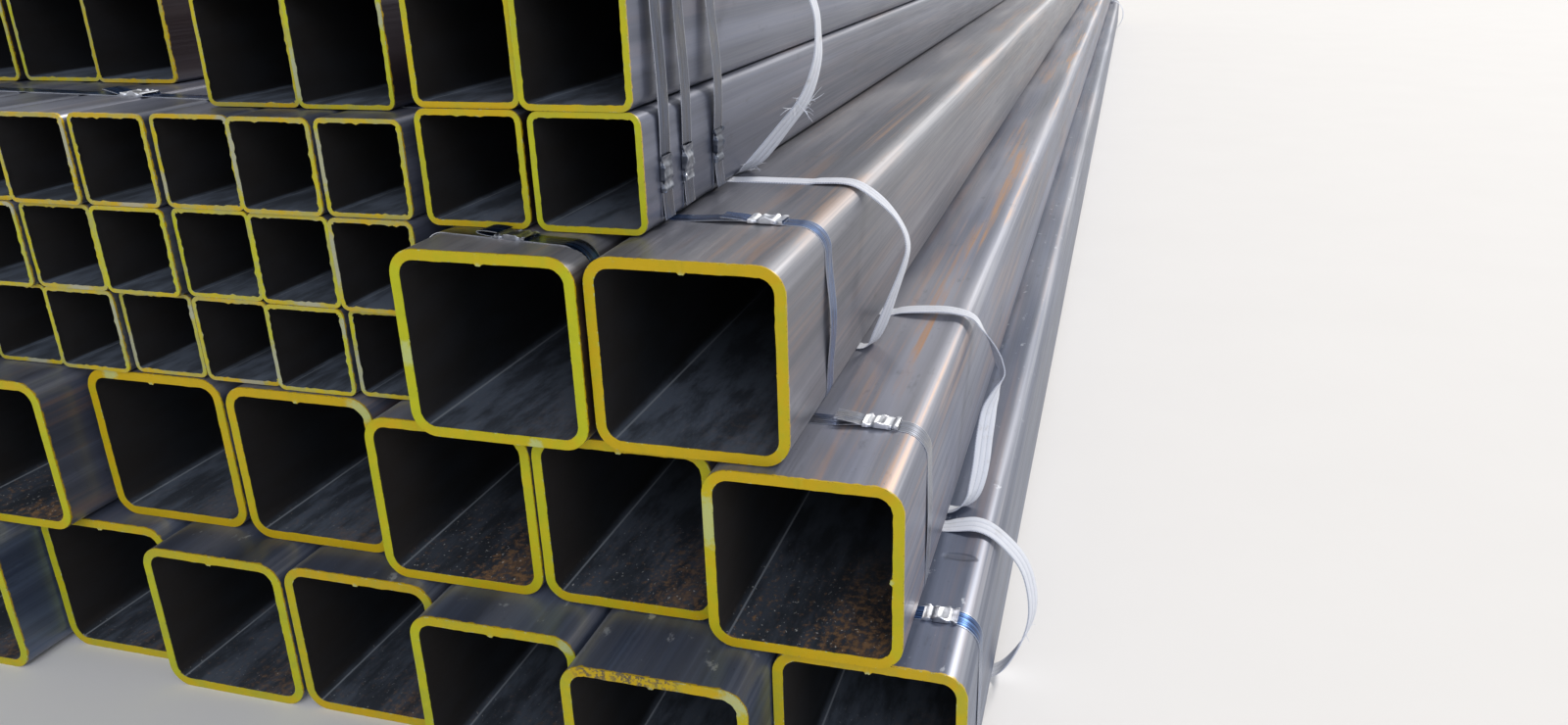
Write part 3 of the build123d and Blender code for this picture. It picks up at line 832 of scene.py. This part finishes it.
def makeTubes():
    bore, paint, sawn = boreScale(), markingPaint(), sawnSteel()
    steel = {row: millScaleSteel(row) for row in ("bottom", "middle", "top", "light")}
    for row, count in (("bottom", 8), ("middle", 7), ("top", 2)):
        for number in range(1, count + 1):
            node = f"{row}_tube_{number}"
            low, high = (np.array(corner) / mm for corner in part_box(node))
            centre = ((low[0] + high[0]) / 2, low[1], (low[2] + high[2]) / 2)
            onRight = row == "middle" and number == count
            surfaces = []
            nibAt, nibReach = largeTube["nibAt"], largeTube["nibReach"]
            nib = (nibAt, 0.0, nibReach) if onRight else (0.0, nibAt, nibReach)
            least, spread = drawnTones["large"]
            tone = least + spread * randomDraws.random()
            numbers = {**rowLooks[row], "tone": paintTones.get(node, tone)}
            numbers["rusting"] = cleanBores.get(node, numbers["rusting"])
            if number == count:
                numbers["gapRustAndShade"] = 0.0
            tubeSurface(
                surfaces, largeTube, centre, high[1] - low[1], numbers, 3 if onRight else 0,
                (nib, *barePatches.get(node, ())), scuffMarks.get(node, ()),
            )
            placePiece(node, surfaces, [steel[row], paint, bore, sawn])
    for bundle, looks in lightTubes.items():
        for row in range(1, looks["rows"] + 1):
            node = f"{bundle}_tubes_row_{row}"
            surfaces = []
            found = findTubes(node, looks["side"])
            for place, (centre, length) in enumerate(found):
                patch = randomPatches[randomDraws.integers(len(randomPatches))]
                patch = patch if rowLooks[bundle]["poor"] > poorPaint else ()
                least, spread = drawnTones["light"]
                numbers = {**rowLooks[bundle], "tone": least + spread * randomDraws.random()}
                if bundle == "quad" and place == len(found) - 1:
                    numbers["gapRustAndShade"] = 0.0
                tubeSurface(surfaces, looks, centre, length, numbers, patches=patch)
            placePiece(node, surfaces, [steel["light"], paint, bore, sawn])


# The tubes of a row, found in its node's points: each starts where the last one's side ends
def findTubes(node, side, slack=0.5):
    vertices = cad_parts[node].data.vertices
    flat = np.zeros(len(vertices) * 3, np.float32)
    vertices.foreach_get("co", flat)
    points = flat.reshape(-1, 3) / mm
    bottom, top = points[:, 2].min(), points[:, 2].max()
    left = points[:, 0].min()
    tubes = []
    while True:
        own = points[(points[:, 0] > left - slack) & (points[:, 0] < left + side + slack)]
        front, back = own[:, 1].min(), own[:, 1].max()
        tubes.append(((left + side / 2, front, (bottom + top) / 2), back - front))
        beyond = points[:, 0][points[:, 0] > left + side + slack]
        if len(beyond) == 0:
            return tubes
        left = beyond.min()


# Bands: steel straps and webbing slings

bundleTubes = {
    "bottom": {"nodes": ("bottom_tube_7", "bottom_tube_8"), "corner": 35, "above": "middle_tube_7"},
    "middle": {"nodes": ("middle_tube_6", "middle_tube_7"), "corner": 35, "above": "top_tube_2"},
    "top": {"nodes": ("top_tube_1", "top_tube_2"), "corner": 35, "above": "quad_tubes_row_1"},
    "lone": {"nodes": ("top_tube_1",), "corner": 35, "above": None},
    "small": {"nodes": ("small_tubes_row_1", "small_tubes_row_3"), "corner": 12, "above": None},
    "quad": {"nodes": ("quad_tubes_row_1", "quad_tubes_row_2"), "corner": 16, "above": None},
}
strap = {
    "width": 32, "tailShare": 0.99, "thickness": 0.9, "clearance": 0.1, "step": 12, "acrossSteps": 4,
    "liftGap": 6,  # from the tube that lies on the strap to where it rises off its bundle
}
sealLooks = {
    "length": 46, "thickness": 0.5, "room": 0.1, "alongSteps": 56, "aroundSteps": 96, "boxiness": 0.2,
    "crimps": (-0.3, 0.27), "crimpWidth": 0.06, "crimpDepth": 2.72, "foldHeight": 2.0,
    "foldLeans": (0.6, -0.9, 1.4, -0.2), "foldBeats": (1.2, 3.4), "foldStarts": (0, 3),
    "foldShares": (0.35, 0.9), "foldEdge": 0.2, "crimpFlattens": 0.7, "archHeight": 3.5,
    "archWidth": 0.2, "archShift": 0.1, "sharpAngle": 40,
}
sling = {
    "width": 34, "thinnest": 0.9, "thickness": 2.4, "clearance": 0.1, "step": 6, "flatStep": 16,
    "acrossSteps": 24, "ribs": 3, "ribHeight": 0.5, "sharpAngle": 60, "quadLean": 10,
    "joinGap": 12,  # from the still part to where the slack route takes over
    "underShare": 0.6,  # how much of the corner the underside leaves to the slack route
    "thinTop": (4, 30),  # past the tube above, where it begins to thicken, and over how far
    "thinSide": (3, 12),  # the same out from the bundle's side
    "topDepth": 20,
    "nearFlat": 1,  # this near to its top or underside, the loop lies on the bundle
    "frays": {  # where loose threads stand out: up from the bundle's bottom from and to, count, longest
        "quad": ((96, 116, 22, 14), (6, 22, 10, 9)),
        "bottom": ((70, 96, 8, 5),),
    },
    "threadWidth": 1.1, "threadSteps": 5, "shortest": 0.35, "splay": 0.6, "bend": 0.9, "fall": 0.4,
    "taper": 0.6,
}

# Each strap: its bundle, its turn, how far it stands off the side (bow) and the open top (lift), how
# greyed it is (partly painted sunlight), how dark its painted shade is, how bright its seal (partly
# painted light), where that sits if it isn't on top (sealUp), and the tail as (along, up) from the seal's
# middle. The far ones copy these.
strapBasics = {"yaw": 0, "lift": 0, "oiled": 0}
strapSet = {
    "bottom_strap_front": {
        "bundle": "bottom", "bow": 1.0, "lift": 0.8, "greyedAndLit": -0.3, "shine": 0.6,
        "tail": ((-23, 1), (0, 1), (22, 1)),
    },
    "middle_strap_front": {
        # greyed: partly painted sunlight, as this strap lay in sun
        "bundle": "middle", "bow": 2.0, "lift": 4.5, "greyedAndLit": 0.9, "shine": 1.0,
        "tail": ((-23, 1), (20, 1.2), (36, 4), (50, 6), (61, 7)),
    },
    "top_strap_front": {
        "bundle": "top", "bow": 6.0, "lift": 3.5, "greyedAndLit": 0.05, "shine": 0.9,
        "tail": ((-23, 1), (20, 1.2), (34, 3), (48, 4), (60, 5)),
    },
    "top_tube_1_strap": {
        "bundle": "lone", "yaw": -9, "bow": 0.8, "greyedAndLit": 0.1, "shine": 0.35,
        "tail": ((-23, 1), (10, 1.2), (32, 2), (46, 3.6), (51, 6), (46, 8.2), (32, 8.8), (18, 8)),
    },
    "small_strap_front": {
        "bundle": "small", "yaw": -6, "bow": 2.0, "greyedAndLit": 0.1, "shine": 0.7,
        "tail": ((-23, 1), (20, 1), (36, 4), (50, 7), (60, 9)),
    },
    # the quad straps lay in shade: painted shade darkens them, and their seals are dull
    "quad_strap_front_1": {
        "bundle": "quad", "sealUp": 66, "bow": 3.0, "greyedAndLit": 0.5, "shine": 0.1,
        "oiled": 0.85, "tail": ((-23, 1), (24, 1), (42, 1.6), (58, 3)),
    },
    "quad_strap_front_2": {
        "bundle": "quad", "sealUp": 66, "bow": 4.0, "greyedAndLit": 0.7, "shine": 0.15,
        "oiled": 0.75, "tail": ((-23, 1), (24, 1), (42, 1.4), (56, 2.4)),
    },
    "quad_strap_front_3": {
        "bundle": "quad", "sealUp": 66, "bow": 7.0, "greyedAndLit": 0.7, "shine": 0.0,
        "oiled": 0.7, "tail": ((-23, 1), (24, 1), (42, 2), (58, 4)),
    },
}
farStraps = {
    "bottom_strap_back": "bottom_strap_front",
    "middle_strap_back": "middle_strap_front",
    "top_strap_back": "top_strap_front",
    "small_strap_back": "small_strap_front",
    "quad_strap_back": "quad_strap_front_3",
}

# The slack side of each sling: how far out from the bundle's right side, how far up from its
# bottom, and the twist in degrees that turns its face towards the front
slackRoutes = {
    "bottom": (
        (-66, 254, 6), (-34, 258, 8), (-4, 244, 7), (32, 205, 11), (49, 155, 16), (50, 105, 16),
        (32, 50, 8), (4, 8, 0),
    ),
    "middle": (
        (-120, 254, 0), (-80, 258, 0), (-40, 259, -2), (-6, 251, -5), (14, 233, -14), (31, 214, -27),
        (47, 190, -35), (53, 176, -14), (46, 154, 20), (38, 130, 40), (35, 98, 43), (34, 62, 43),
        (31, 38, 42), (25, 20, 36), (13, 8, 24), (-2, 2, 10),
    ),
    "top": (
        (-70, 252, 0), (-22, 251, 0), (15, 230, 0), (44, 200, -7), (58, 168, -3), (55, 138, 5),
        (38, 87, 13), (18, 31, 20), (2, 3, 10),
    ),
    "quad": (
        (-60, 302, 0), (-14, 303, 0), (50, 294, 2), (94, 274, 2), (112, 240, -1), (116, 205, -1),
        (114, 165, 7), (96, 114, 17), (62, 70, 24), (23, 25, 27), (-6, 1, 8),
    ),
}


def bundleBox(bundle):
    boxes = [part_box(node) for node in bundleTubes[bundle]["nodes"]]
    low = np.min([np.array(box[0]) for box in boxes], axis=0) / mm
    high = np.max([np.array(box[1]) for box in boxes], axis=0) / mm
    return low, high


# A smooth curve through chosen points: between two of them each coordinate is the cubic whose
# slopes at the ends are half the step from the point before to the point after
def smoothCurve(points, closed=False, perSpan=8):
    points = np.asarray(points, float)
    if closed:
        ring = np.concatenate([points[-1:], points, points[:2]])
    else:
        ring = np.concatenate([2 * points[:1] - points[1:2], points, 2 * points[-1:] - points[-2:-1]])
    before, start, end, after = ring[:-3, None], ring[1:-2, None], ring[2:-1, None], ring[3:, None]
    t = (np.arange(perSpan) / perSpan)[None, :, None]
    cubic = 0.5 * (
        2 * start + (end - before) * t + (2 * before - 5 * start + 4 * end - after) * t ** 2
        + (3 * start - before - 3 * end + after) * t ** 3
    )
    cubic = cubic.reshape(-1, points.shape[1])
    return cubic if closed else np.concatenate([cubic, points[-1:]])


# The same curve with its points a near-constant step apart, measured on its first three coordinates
def evenSteps(points, step, closed):
    ring = np.concatenate([points, points[:1]]) if closed else points
    run = np.concatenate([[0], np.cumsum(np.linalg.norm(np.diff(ring[:, :3], axis=0), axis=1))])
    count = max(int(round(run[-1] / step)), 2)
    places = np.linspace(0, run[-1], count + 1)
    if closed:
        places = places[:-1]
    return np.stack([np.interp(places, run, values) for values in ring.T], axis=1), places


# A band carried along a path in space: the profile's first number goes sideways, along the tubes
# less what lies along the path, and its second outwards. Twist turns both about the path.
def carryBand(path, profile, closed, twist=None, sideGuide=(0, 1, 0), thickness=None):
    if closed:
        tangent = np.roll(path, -1, axis=0) - np.roll(path, 1, axis=0)
    else:
        tangent = np.gradient(path, axis=0)
    tangent /= np.linalg.norm(tangent, axis=1, keepdims=True)
    sideways = np.array(sideGuide, float) - tangent * (tangent @ np.array(sideGuide, float))[:, None]
    sideways /= np.linalg.norm(sideways, axis=1, keepdims=True)
    outward = np.cross(tangent, sideways)
    if twist is not None:
        turn = np.radians(twist)[:, None]
        sideways, outward = (
            np.cos(turn) * sideways + np.sin(turn) * outward,
            np.cos(turn) * outward - np.sin(turn) * sideways,
        )
    height = profile[None, :, 1] * (1 if thickness is None else thickness[:, None])
    points = path[:, None] + profile[None, :, 0, None] * sideways[:, None]
    return points + height[..., None] * outward[:, None]


# Profile of a flat band, once round: along its outer face and back along its inner one
def bandProfile(width, thickness, steps, ribs=0, ribHeight=0.0):
    across = np.linspace(-1, 1, steps + 1)
    ribbed = ribHeight * np.abs(np.cos(across * np.pi * ribs / 2))
    outer = np.stack([across * width / 2, thickness - ribHeight + ribbed], axis=1)
    inner = np.stack([across[::-1] * width / 2, np.zeros(steps + 1)], axis=1)
    sides = np.concatenate([across, across[::-1]])
    return np.concatenate([outer, inner]), sides


# Points of a band's path round a bundle seen from the front, closed, clockwise from its top right
# corner: arcs at the corners, flats between them that stand off by a bow in their middles
def roundBundle(low, high, corner, offset, bows, step, arcSteps=16):
    left, right = low[0] - offset, high[0] + offset
    bottom, top = low[2] - offset, high[2] + offset
    radius = corner + offset
    corners = [
        ((right - radius, top - radius), 90), ((right - radius, bottom + radius), 0),
        ((left + radius, bottom + radius), -90), ((left + radius, top - radius), 180),
    ]
    path = []
    for index, (centre, start) in enumerate(corners):
        turn = np.radians(np.linspace(start, start - 90, arcSteps + 1))
        path.append(np.array(centre) + radius * np.stack([np.cos(turn), np.sin(turn)], axis=1))
        leaves = path[-1][-1]
        centre, ahead = corners[(index + 1) % 4]
        arrives = np.array(centre) + radius * np.array([np.cos(radians(ahead)), np.sin(radians(ahead))])
        length = np.linalg.norm(arrives - leaves)
        share = np.linspace(0, 1, max(int(length / step), 3) + 1)[1:-1, None]
        outward = np.array([np.cos(radians(start - 90)), np.sin(radians(start - 90))])
        bow = bows[index] * np.sin(np.pi * share) ** 2
        path.append(leaves + share * (arrives - leaves) + bow * outward)
    return np.concatenate(path)


# A strap's own place along the tubes: the middle of its node
def bandMiddle(node):
    low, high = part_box(node)
    return (low.y + high.y) / 2 / mm


# A strip of strap along a path, with the wear, painted light and painted shade that its material reads
def addStrip(surfaces, looks, path, width, closed, seat=None, sideGuide=(0, 1, 0)):
    profile, sides = bandProfile(width, strap["thickness"], strap["acrossSteps"])
    points = carryBand(path, profile, closed, sideGuide=sideGuide)
    points = seat(points) if seat else points
    worn = {name: looks[name] for name in ("greyedAndLit", "oiled")}
    addSurface(surfaces, points * mm, closed, across=sides[None, :], **worn)


# A strap's own loop. Where nothing lies on it its top run stands off by the square of a sine.
def strapLoop(surfaces, low, high, corner, y, looks, yaw, liftFrom):
    flat = roundBundle(low, high, corner, strap["clearance"], (looks["bow"], 0, 0, 0), strap["step"])
    share = np.clip((flat[:, 0] - liftFrom) / (high[0] - corner - liftFrom), 0, 1)
    flat[:, 1] += looks["lift"] * np.sin(np.pi * share) ** 2 * (flat[:, 1] > high[2])
    middle = (low[0] + high[0]) / 2
    path = np.stack([flat[:, 0], y + np.tan(radians(yaw)) * (flat[:, 0] - middle), flat[:, 1]], axis=1)
    guide = (-np.sin(radians(yaw)), np.cos(radians(yaw)), 0)
    addStrip(surfaces, looks, path, strap["width"], True, sideGuide=guide)


# The free end of a strap, from under its seal. Local X runs away from the seal and local Z outwards.
def strapTail(surfaces, looks, seat):
    curve = smoothCurve(looks["tail"])
    path = np.stack([curve[:, 0], np.zeros(len(curve)), curve[:, 1]], axis=1)
    addStrip(surfaces, looks, path, strap["width"] * strap["tailShare"], False, seat)


# The seal, a sleeve round both layers of the strap: its edges are pressed in at each crimp, and the
# thin sheet between is crumpled, the sum of a few ridge waves that cross it aslant. Its front edge
# arches off the strap. Outer skin, end, inner skin and end make one closed ribbon.
def sealSurface(surfaces, seat, layers, shine, seed):
    draws = np.random.default_rng(seed)
    looks = sealLooks
    along = np.linspace(-0.5, 0.5, looks["alongSteps"] + 1)[:, None]
    turns = np.linspace(0, 2 * np.pi, looks["aroundSteps"], endpoint=False)[None, :]
    reach = np.cos(turns)
    outX = np.sign(reach) * np.abs(reach) ** looks["boxiness"]
    outZ = np.sign(np.sin(turns)) * np.abs(np.sin(turns)) ** looks["boxiness"]
    crimp = sum(np.exp(-((along - place) / looks["crimpWidth"]) ** 2) for place in looks["crimps"])
    folds = 0
    for lean in looks["foldLeans"]:
        beat, start = draws.uniform(*looks["foldBeats"]), draws.uniform(*looks["foldStarts"])
        share = draws.uniform(*looks["foldShares"])
        folds = folds + share * (1 - np.abs(np.sin(np.pi * (beat * along + lean * reach / 2) + start)))
    folds = folds * (1 - looks["crimpFlattens"] * np.clip(crimp, 0, 1))
    archAt = draws.uniform(-looks["archShift"], looks["archShift"])
    arch = np.exp(-((along - archAt) / looks["archWidth"]) ** 2)
    arch = arch * np.clip(-outX, 0, 1) ** 3
    rings = []
    for grow in (looks["thickness"], 0.0):
        width = strap["width"] / 2 + 3 * looks["room"] + grow - crimp * looks["crimpDepth"]
        height = layers / 2 + looks["room"] + grow
        lift = looks["foldHeight"] * folds + looks["archHeight"] * arch
        lift = lift * (outZ > 0) * np.clip(outZ + looks["foldEdge"], 0, 1)
        x = np.broadcast_to(along * looks["length"], lift.shape)
        rings.append(np.stack([x, width * outX, layers / 2 + height * outZ + lift], axis=-1))
    outer, inner = rings
    addSurface(surfaces, seat(np.concatenate([outer, inner[::-1]])) * mm, shine=shine)


# Seats local points on a bundle's top, turned by the strap's yaw, with the tail to the left
def seatOnTop(low, high, y, sealIn, yaw, offset):
    middle = (low[0] + high[0]) / 2
    fromMiddle = high[0] - sealIn - middle
    turn = radians(yaw)

    def seat(points):
        along = fromMiddle - points[..., 0]
        across = points[..., 1]
        x = middle + along * np.cos(turn) - across * np.sin(turn)
        back = y + along * np.sin(turn) + across * np.cos(turn)
        return np.stack([x, back, high[2] + offset + points[..., 2]], axis=-1)
    return seat


# Seats them on a bundle's right side, with the tail down
def seatOnRight(low, high, y, sealUp, offset):
    def seat(points):
        x = high[0] + offset + points[..., 2]
        return np.stack([x, y + points[..., 1], low[2] + sealUp - points[..., 0]], axis=-1)
    return seat


def makeStraps():
    steel, bright = bluedStrapping(), crumpledSeal()
    everyStrap = {node: (node, 1) for node in strapSet}
    everyStrap.update({node: (front, -1) for node, front in farStraps.items()})
    for number, (node, (front, mirror)) in enumerate(everyStrap.items()):
        looks = {**strapBasics, **strapSet[front]}
        bundle = looks["bundle"]
        low, high = bundleBox(bundle)
        yaw = looks["yaw"] * mirror
        y = bandMiddle(node)
        corner = bundleTubes[bundle]["corner"]
        above = bundleTubes[bundle]["above"]
        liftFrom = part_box(above)[1].x / mm + strap["liftGap"] if above else low[0]
        surfaces = []
        strapLoop(surfaces, low, high, corner, y, looks, yaw, liftFrom)
        offset = strap["clearance"]
        if "sealUp" in looks:
            share = (looks["sealUp"] - corner) / (high[2] - low[2] - 2 * corner)
            offset += looks["bow"] * np.sin(np.pi * share) ** 2
            seat = seatOnRight(low, high, y, looks["sealUp"], offset)
        else:
            sealLow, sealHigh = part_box(node + "_seal")
            sealX = (sealLow.x + sealHigh.x) / 2 / mm
            share = (sealX - liftFrom) / (high[0] - corner - liftFrom)
            offset += looks["lift"] * np.sin(np.pi * share) ** 2
            fromMiddle = (sealX - (low[0] + high[0]) / 2) / np.cos(radians(yaw))
            seat = seatOnTop(low, high, y, (high[0] - low[0]) / 2 - fromMiddle, yaw, offset)
        strapTail(surfaces, looks, seat)
        placePiece(node, surfaces, [steel])
        surfaces = []
        sealSurface(surfaces, seat, 2 * strap["thickness"] + strap["clearance"], looks["shine"], number)
        placePiece(node + "_seal", surfaces, [bright], sealLooks["sharpAngle"])


# Loose threads at a band's edges: each leaves its edge sideways, bends by the square of its run and
# tapers, as a three-sided ribbon
def addFrays(surfaces, points, spots, low, draws):
    steps = sling["acrossSteps"]
    run = np.linspace(0, 1, sling["threadSteps"] + 1)[:, None]
    turns = np.arange(3) * 2 * np.pi / 3
    around = np.stack([np.cos(turns), np.zeros(3), np.sin(turns)], axis=1)
    for upFrom, upTo, count, longest in spots:
        up = points[:, 0, 2] - low[2]
        slackSide = points[:, 0, 0] > points[:, 0, 0].mean()
        rows = np.flatnonzero((up > upFrom) & (up < upTo) & slackSide)
        for _ in range(count):
            row, side = draws.choice(rows), draws.choice((0, steps))
            outward = points[row, side] - points[row, steps // 2]
            outward /= np.linalg.norm(outward)
            reach = longest * draws.uniform(sling["shortest"], 1)
            ahead = outward + draws.normal(0, sling["splay"], 3)
            bend = draws.normal(0, sling["bend"], 3) - (0, 0, sling["fall"])
            line = points[row, side] + reach * (run * ahead + run ** 2 * bend)
            radius = sling["threadWidth"] / 2 * (1 - sling["taper"] * run)
            thin = line[:, None] + radius[..., None] * around
            addSurface(surfaces, thin * mm, False, across=0.0, along=0.0)


# A sling's whole loop: along the top, down its slack route, back under the bundle and up the left.
# It leans along the tubes by its drift from the top to the underside, and it is pressed thin
# wherever a tube lies on it.
def slingSurface(surfaces, bundle, yTop, yBottom, draws):
    low, high = bundleBox(bundle)
    corner = bundleTubes[bundle]["corner"]
    offset = sling["clearance"]
    route = np.array(slackRoutes[bundle], float)
    slack = np.stack([high[0] + route[:, 0], low[2] + route[:, 1], route[:, 2]], axis=1)
    whole = roundBundle(low, high, corner, offset, (0, 0, 0, 0), sling["flatStep"])
    onTop = whole[:, 1] > high[2] - sling["nearFlat"]
    below = whole[:, 1] < low[2] + sling["nearFlat"]
    top = whole[onTop & (whole[:, 0] < slack[0, 0] - sling["joinGap"])]
    top = top[np.argsort(top[:, 0])]
    under = whole[below & (whole[:, 0] < high[0] - corner * sling["underShare"])]
    under = under[np.argsort(-under[:, 0])]
    left = whole[~onTop & ~below & (whole[:, 0] < low[0] + corner)]
    left = left[np.argsort(left[:, 1])]
    still = [np.column_stack([part, np.zeros(len(part))]) for part in (top, under, left)]
    loop = np.concatenate([still[0], slack, still[1], still[2]])
    height = (high[2] - loop[:, 1]) / (high[2] - low[2])
    y = yTop + (yBottom - yTop) * np.clip(height, 0, 1)
    path = np.column_stack([loop[:, 0], y, loop[:, 1], loop[:, 2]])
    path, places = evenSteps(smoothCurve(path, closed=True), sling["step"], True)
    above = bundleTubes[bundle]["above"]
    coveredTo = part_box(above)[1].x / mm if above else low[0]
    (fromTube, overTop), (fromSide, overSide) = sling["thinTop"], sling["thinSide"]
    pastTube = (path[:, 0] - coveredTo - fromTube) / overTop if above else 1
    pastSide = (path[:, 0] - high[0] - fromSide) / overSide
    free = np.where(path[:, 2] > high[2] - sling["topDepth"], pastTube, pastSide)
    thin = sling["thinnest"] / sling["thickness"]
    thickness = thin + (1 - thin) * np.clip(free, 0, 1)
    profile, sides = bandProfile(
        sling["width"], sling["thickness"], sling["acrossSteps"], sling["ribs"], sling["ribHeight"]
    )
    points = carryBand(path[:, :3], profile, True, twist=path[:, 3], thickness=thickness)
    addSurface(surfaces, points * mm, across=sides[None, :], along=places[:, None])
    addFrays(surfaces, points, sling["frays"].get(bundle, ()), low, draws)
    return places[-1] + sling["step"]


def makeSlings():
    webbing = wovenWebbing()
    draws = np.random.default_rng(5)
    for bundle in ("bottom", "middle", "top", "quad"):
        for end in ("front", "back"):
            node = f"{bundle}_sling_{end}"
            low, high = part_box(node)
            yTop = yBottom = (low.y + high.y) / 2 / mm
            if bundle == "middle":
                lean = ((high.y - low.y) / mm - sling["width"]) * (1 if end == "front" else -1)
                yTop, yBottom = yTop + lean / 2, yTop - lean / 2
            if bundle == "quad":
                yTop, yBottom = yTop + sling["quadLean"] / 2, yBottom - sling["quadLean"] / 2
            surfaces = []
            length = slingSurface(surfaces, bundle, yTop, yBottom, draws)
            placePiece(node, surfaces, [webbing], sling["sharpAngle"])
            print(node, "length mm", round(float(length)))


# Floor

floorLooks = {
    "pale": "#E4E4E4",
    "paler": "#E8E8E8",
    "reach": 60.0,
    "patterns": {"mottle": ((400, 400, 400), 4, 0.55)},
}


def layFloor():
    material, tree, read = newMaterial("paleConcrete", floorLooks)
    colour = layColours(tree, floorLooks["pale"], [(floorLooks["paler"], read["mottle"])])
    endMaterial(tree, read, {}, {"Base Color": colour, "Roughness": 0.85})
    reach = floorLooks["reach"]
    mesh = bpy.data.meshes.new("paleFloor")
    corners = [(-reach, -reach, 0), (reach, -reach, 0), (reach, reach, 0), (-reach, reach, 0)]
    mesh.from_pydata(corners, [], [(0, 1, 2, 3)])
    mesh.materials.append(material)
    floor = bpy.data.objects.new("paleFloor", mesh)
    bpy.context.scene.collection.objects.link(floor)


placeCamera()
lightStage()
layFloor()
print("camera, light and floor are set")
makeTubes()
print("tubes are made")
makeStraps()
print("straps and seals are made")
makeSlings()
print("slings are made")
